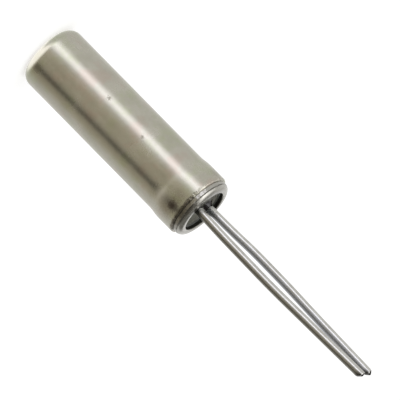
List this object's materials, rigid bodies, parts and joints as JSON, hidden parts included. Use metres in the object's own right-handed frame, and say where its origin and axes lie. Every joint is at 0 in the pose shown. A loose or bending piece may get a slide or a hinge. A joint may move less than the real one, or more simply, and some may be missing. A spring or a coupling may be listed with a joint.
{
  "type": "crystal oscillator",
  "caption": "Cylindrical two-lead quartz crystal unit: drawn metal can pressed over a glass-sealed stem, with tinned wire leads and a quartz strip inside.",
  "frame": {"origin": "centre of the flat outer face of the can's closed end, on which the part stands", "axes": "+Z along the can from its closed end towards the leads; the two leads leave the glass to the left and right, at -X and +X; +Y is the side of the leads on which the quartz strip is cemented"},
  "size_m": [0.0032, 0.003, 0.0198],
  "materials": {
    "nickel_silver": "satin drawn sheet",
    "plated_ring": "bright plating",
    "sealing_glass": "dark fused glass",
    "tinned_wire": "bright tin",
    "quartz": "lapped clear",
    "silver_film": "bright film",
    "silver_cement": "matt silver-filled cement"
  },
  "bodies": {
    "root": {"can": "nickel_silver", "stem_ring": "plated_ring", "glass_seal": "sealing_glass", "lead_left": "tinned_wire", "lead_right": "tinned_wire", "quartz_blank": "quartz", "electrode_front": "silver_film", "electrode_back": "silver_film", "bond_left": "silver_cement", "bond_right": "silver_cement"}
  },
  "joints": []
}
